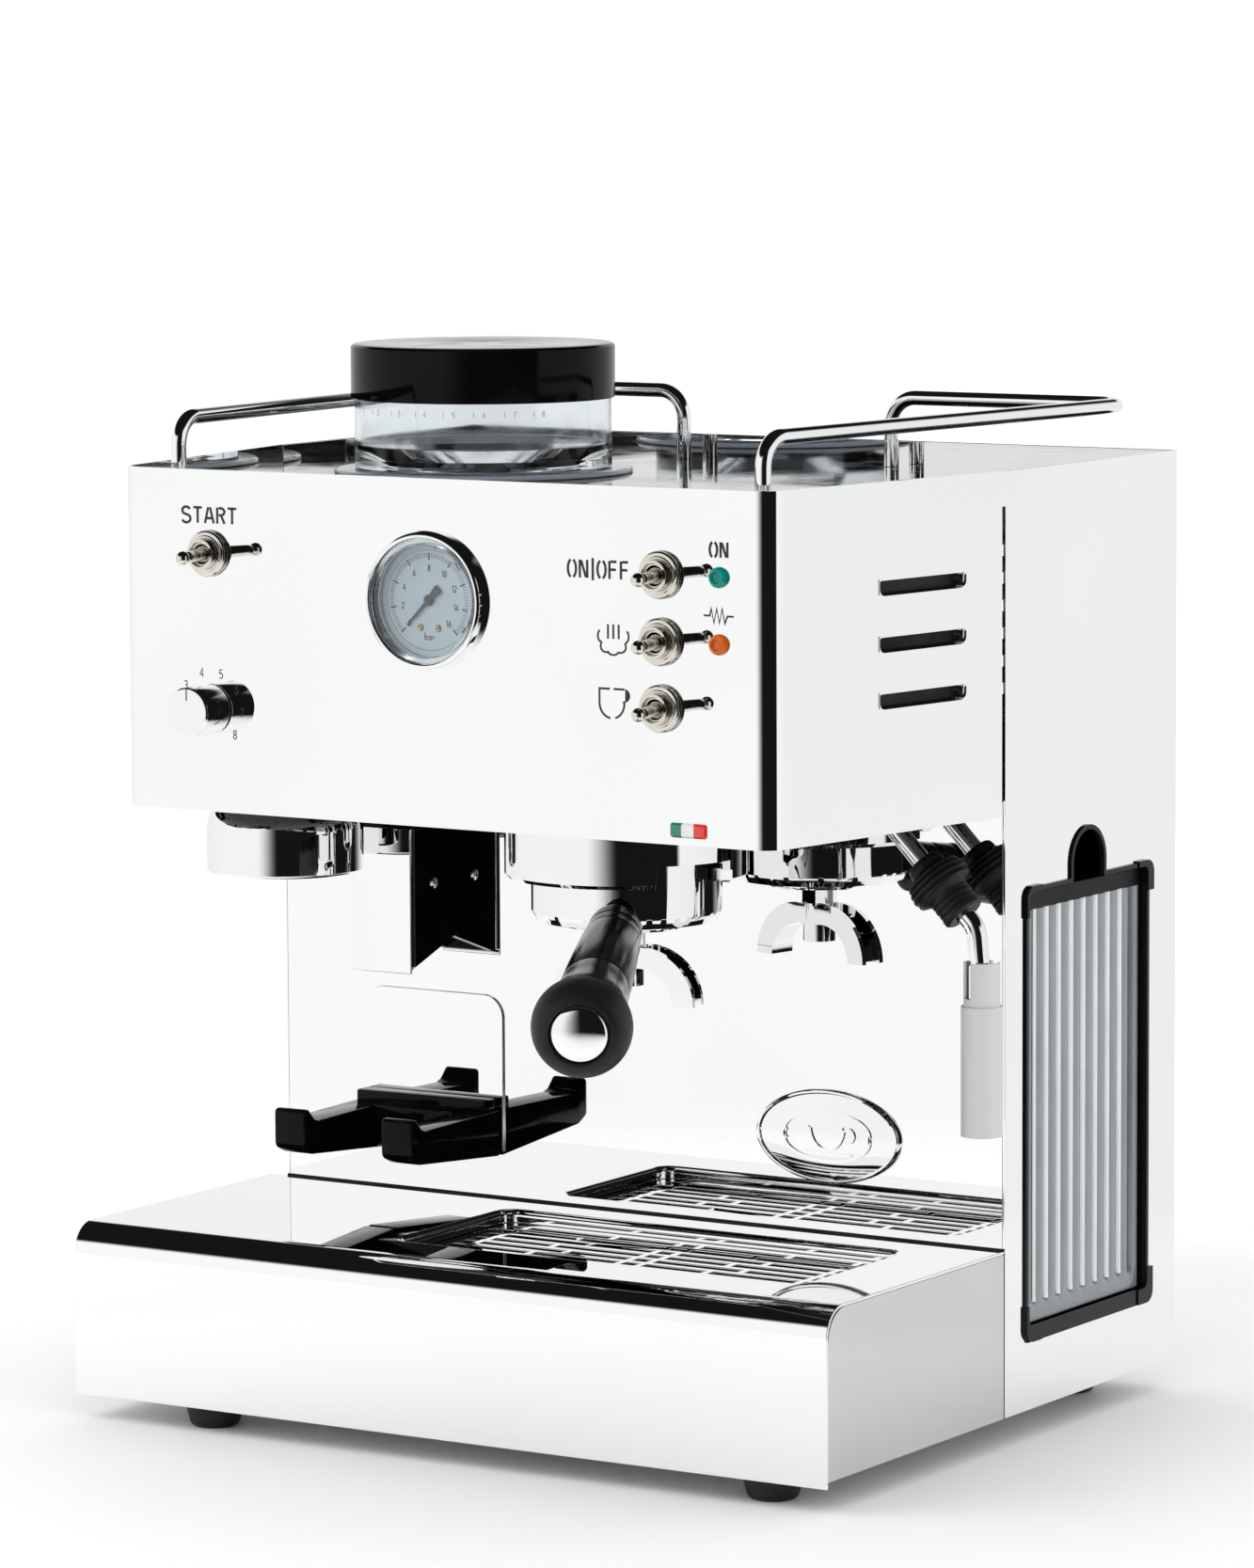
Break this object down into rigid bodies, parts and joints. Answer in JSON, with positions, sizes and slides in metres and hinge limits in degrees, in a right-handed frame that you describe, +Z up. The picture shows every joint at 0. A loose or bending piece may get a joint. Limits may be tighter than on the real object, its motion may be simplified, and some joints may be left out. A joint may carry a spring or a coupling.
{
  "type": "espresso machine",
  "caption": "Countertop espresso machine with built-in bean grinder: box-shaped polished steel body, overhanging head, locked filter holder, steam wand, side water tank and drip tray.",
  "frame": {"origin": "middle of the footprint box on the floor, under the feet", "axes": "+Z up, +X to the right seen from the front, +Y to the back"},
  "size_m": [0.3476, 0.368, 0.4126],
  "materials": {
    "polished_steel": "mirror-polished stainless sheet",
    "chrome_plate": "bright chromium plate",
    "nickel": "bright nickel plate",
    "plain_steel": "mill-finish steel",
    "gloss_black": "glossy black moulding",
    "matte_black": "satin black moulding",
    "black_rubber": "matte black rubber",
    "clear_plastic": "clear moulding",
    "collar_plastic": "bluish translucent moulding",
    "lens_glass": "clear window",
    "white_plastic": "white heat-proof moulding",
    "dial_white": "satin printed dial",
    "needle_grey": "grey lacquer",
    "green_lens": "green signal lens",
    "orange_lens": "orange signal lens",
    "cast_alloy": "die-cast alloy",
    "boiler_brass": "machined brass",
    "burr_steel": "ground tool steel"
  },
  "bodies": {
    "machine": {"base_shell": "polished_steel", "base_sides": "polished_steel", "base_floor": "plain_steel", "feet": "black_rubber", "side_panel_left": "polished_steel", "side_panel_right": "polished_steel", "back_panel": "polished_steel", "splash_panel": "polished_steel", "head_casing": "polished_steel", "head_underside": "polished_steel", "top_plate": "polished_steel", "cup_rails": "chrome_plate", "mains_inlet": "matte_black", "tank_housing": "matte_black", "window_trim": "black_rubber", "gauge_bezel": "chrome_plate", "gauge_dial": "dial_white", "gauge_lens": "lens_glass", "switch_bodies": "matte_black", "toggle_nuts": "nickel", "hopper_collar": "collar_plastic", "grinder_housing": "cast_alloy", "upper_burr": "burr_steel", "grinder_motor": "cast_alloy", "chute_throat": "gloss_black", "chute_plate": "polished_steel", "fork_rest": "gloss_black", "fork_plate": "polished_steel", "fixed_tamper": "chrome_plate", "group_head": "chrome_plate", "shower_screen": "plain_steel", "group_gasket": "black_rubber", "wand_nut": "chrome_plate", "boiler": "boiler_brass", "pump": "matte_black", "lamp_power": "green_lens", "lamp_heater": "orange_lens"},
    "water_tank": {"water_tank": "clear_plastic", "tank_lid": "matte_black"},
    "drip_tray": {"drip_tray": "plain_steel"},
    "drip_grille": {"drip_grille": "polished_steel"},
    "bean_hopper": {"hopper_bin": "clear_plastic"},
    "hopper_lid": {"hopper_lid": "gloss_black"},
    "burr_rotor": {"lower_burr": "burr_steel"},
    "lever_start": {"lever_start": "nickel"},
    "lever_power": {"lever_power": "nickel"},
    "lever_steam": {"lever_steam": "nickel"},
    "lever_coffee": {"lever_coffee": "nickel"},
    "dose_knob": {"dose_knob": "polished_steel"},
    "gauge_needle": {"gauge_needle": "needle_grey"},
    "filter_holder": {"filter_holder": "chrome_plate", "filter_basket": "plain_steel", "double_spout": "chrome_plate", "handle_grip": "gloss_black", "handle_end_ring": "black_rubber", "handle_end_disc": "chrome_plate"},
    "steam_wand": {"wand_tube": "chrome_plate", "wand_grip": "black_rubber", "froth_sleeve": "white_plastic"}
  },
  "joints": [
    {"name": "tank_slide", "type": "slide", "parent": "machine", "child": "water_tank", "axis": [1, 0, 0], "range_m": [0, 0.11]},
    {"name": "tray_lift", "type": "slide", "parent": "machine", "child": "drip_tray", "axis": [0, 0, 1], "range_m": [0, 0.05]},
    {"name": "grille_lift", "type": "slide", "parent": "drip_tray", "child": "drip_grille", "axis": [0, 0, 1], "range_m": [0, 0.035]},
    {"name": "grind_adjust", "type": "hinge", "parent": "machine", "child": "bean_hopper", "pos_m": [-0.08425, 0.06871, 0.3638], "axis": [0, 0, 1], "range_deg": [-120, 120]},
    {"name": "lid_lift", "type": "slide", "parent": "bean_hopper", "child": "hopper_lid", "axis": [0, 0, 1], "range_m": [0, 0.04]},
    {"name": "burr_spin", "type": "hinge", "parent": "machine", "child": "burr_rotor", "pos_m": [-0.08425, 0.06871, 0.308], "axis": [0, 0, 1], "continuous": true},
    {"name": "start_toggle", "type": "hinge", "parent": "machine", "child": "lever_start", "pos_m": [-0.10325, -0.09279, 0.3396], "axis": [0, 0, 1], "range_deg": [-25.2, 0], "stiffness_Nm_per_rad": 0.02},
    {"name": "power_toggle", "type": "hinge", "parent": "machine", "child": "lever_power", "pos_m": [0.09775, -0.09279, 0.3396], "axis": [0, 0, 1], "range_deg": [-25.2, 0]},
    {"name": "steam_toggle", "type": "hinge", "parent": "machine", "child": "lever_steam", "pos_m": [0.09775, -0.09279, 0.3153], "axis": [0, 0, 1], "range_deg": [-25.2, 0]},
    {"name": "coffee_toggle", "type": "hinge", "parent": "machine", "child": "lever_coffee", "pos_m": [0.09775, -0.09279, 0.291], "axis": [0, 0, 1], "range_deg": [-25.2, 0]},
    {"name": "dose_turn", "type": "hinge", "parent": "machine", "child": "dose_knob", "pos_m": [-0.10325, -0.09069, 0.2805], "axis": [0, 1, 0], "range_deg": [-126, 126]},
    {"name": "needle_sweep", "type": "hinge", "parent": "machine", "child": "gauge_needle", "pos_m": [-0.00395, -0.09069, 0.326], "axis": [0, 1, 0], "range_deg": [0, 270], "stiffness_Nm_per_rad": 0.0005},
    {"name": "holder_turn", "type": "hinge", "parent": "machine", "child": "filter_holder", "pos_m": [0.04175, -0.02629, 0.234], "axis": [0, 0, 1], "range_deg": [-60, 0]},
    {"name": "wand_swivel", "type": "hinge", "parent": "machine", "child": "steam_wand", "pos_m": [0.12375, 0.02471, 0.247], "axis": [0, 0, 1], "range_deg": [-60, 0]}
  ]
}
